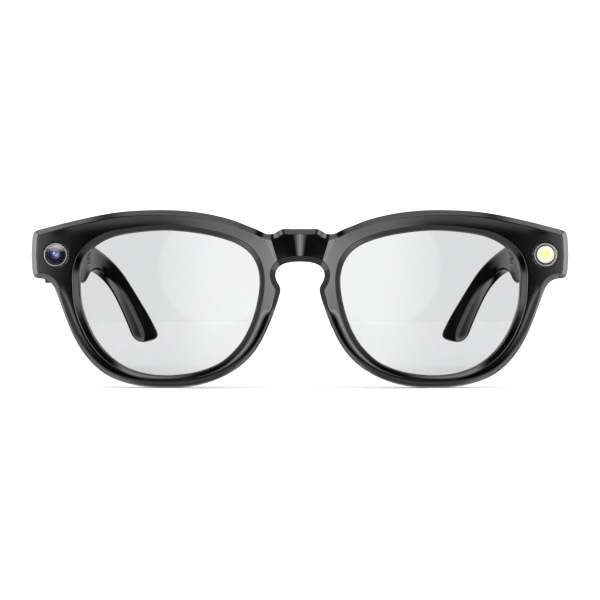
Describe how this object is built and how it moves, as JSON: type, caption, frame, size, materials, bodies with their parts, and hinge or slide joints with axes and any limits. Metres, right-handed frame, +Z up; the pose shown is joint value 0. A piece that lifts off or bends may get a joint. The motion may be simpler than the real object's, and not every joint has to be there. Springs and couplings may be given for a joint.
{
  "type": "smart glasses",
  "caption": "Full-rim smart glasses with a keyhole bridge, a camera and a capture lamp in the end pieces, and two thick folding temples with electronics.",
  "frame": {"origin": "bottom centre of the bounding box, under the middle of the glasses with the temples open", "axes": "+X to the wearer's left, +Y from the front towards the ear tips, +Z up"},
  "size_m": [0.1484, 0.1496, 0.0489],
  "materials": {
    "frame_gloss_black": "polished injection-moulded nylon",
    "cover_satin_black": "satin moulded inner cover",
    "lens_clear": "clear lens with a faint grey tint",
    "pad_silicone": "soft black silicone",
    "ring_silver": "bead-blasted anodised ring",
    "camera_glass": "coated camera glass",
    "lamp_glass": "clear lamp window",
    "lamp_white": "white moulded reflector",
    "lamp_yellow": "yellow phosphor of the lamp",
    "black_plastic": "moulded black plastic",
    "board_green": "solder-masked circuit board",
    "flex_amber": "polyimide flexible circuit",
    "hinge_steel": "machined stainless steel",
    "screw_steel": "plated steel",
    "battery_foil": "foil pouch",
    "grille_mesh": "black woven steel mesh",
    "contact_gold": "gold-plated contacts",
    "magnet_nickel": "nickel-plated magnet",
    "button_black": "moulded button cap"
  },
  "bodies": {
    "front": {"camera_barrel": "black_plastic", "camera_bezel": "ring_silver", "camera_element": "camera_glass", "camera_sensor_board": "board_green", "camera_window": "camera_glass", "end_cover_left": "frame_gloss_black", "end_cover_right": "frame_gloss_black", "front_flex": "flex_amber", "front_frame": "frame_gloss_black", "hinge_front_leaf_left": "hinge_steel", "hinge_front_leaf_right": "hinge_steel", "hinge_pin_left": "hinge_steel", "hinge_pin_right": "hinge_steel", "hinge_screws": "screw_steel", "lamp_bezel": "ring_silver", "lamp_board": "board_green", "lamp_emitter": "lamp_yellow", "lamp_reflector": "lamp_white", "lamp_window": "lamp_glass", "lens_left": "lens_clear", "lens_right": "lens_clear", "nose_pad_left": "pad_silicone", "nose_pad_right": "pad_silicone"},
    "temple_right": {"battery_right": "battery_foil", "button_switches": "screw_steel", "charge_contacts": "contact_gold", "charge_magnets": "magnet_nickel", "core_wire_right": "hinge_steel", "ear_tip_right": "frame_gloss_black", "hinge_temple_leaf_right": "hinge_steel", "main_board_right": "board_green", "microphone_right": "screw_steel", "speaker_grille_right": "grille_mesh", "speaker_right": "black_plastic", "temple_cover_right": "cover_satin_black", "temple_screws_right": "screw_steel", "temple_shell_right": "frame_gloss_black", "touch_sensor": "flex_amber"},
    "temple_left": {"battery_left": "battery_foil", "core_wire_left": "hinge_steel", "ear_tip_left": "frame_gloss_black", "hinge_temple_leaf_left": "hinge_steel", "link_board_left": "board_green", "microphone_left": "screw_steel", "speaker_grille_left": "grille_mesh", "speaker_left": "black_plastic", "temple_cover_left": "cover_satin_black", "temple_screws_left": "screw_steel", "temple_shell_left": "frame_gloss_black"},
    "shutter_button": {"shutter_button": "button_black"},
    "power_button": {"power_button": "button_black"}
  },
  "joints": [
    {"name": "temple_fold_left", "type": "hinge", "parent": "front", "child": "temple_left", "pos_m": [0.066, -0.06071, 0.0354], "axis": [0, 0, 1], "range_deg": [0, 85]},
    {"name": "temple_fold_right", "type": "hinge", "parent": "front", "child": "temple_right", "pos_m": [-0.066, -0.06071, 0.0354], "axis": [0, 0, -1], "range_deg": [0, 69]},
    {"name": "shutter_press", "type": "slide", "parent": "temple_right", "child": "shutter_button", "axis": [0, 0, -1], "range_m": [0, 0.0004], "stiffness_N_per_m": 1500},
    {"name": "power_press", "type": "slide", "parent": "temple_right", "child": "power_button", "axis": [0, 0, 1], "range_m": [0, 0.0004], "stiffness_N_per_m": 1500}
  ]
}
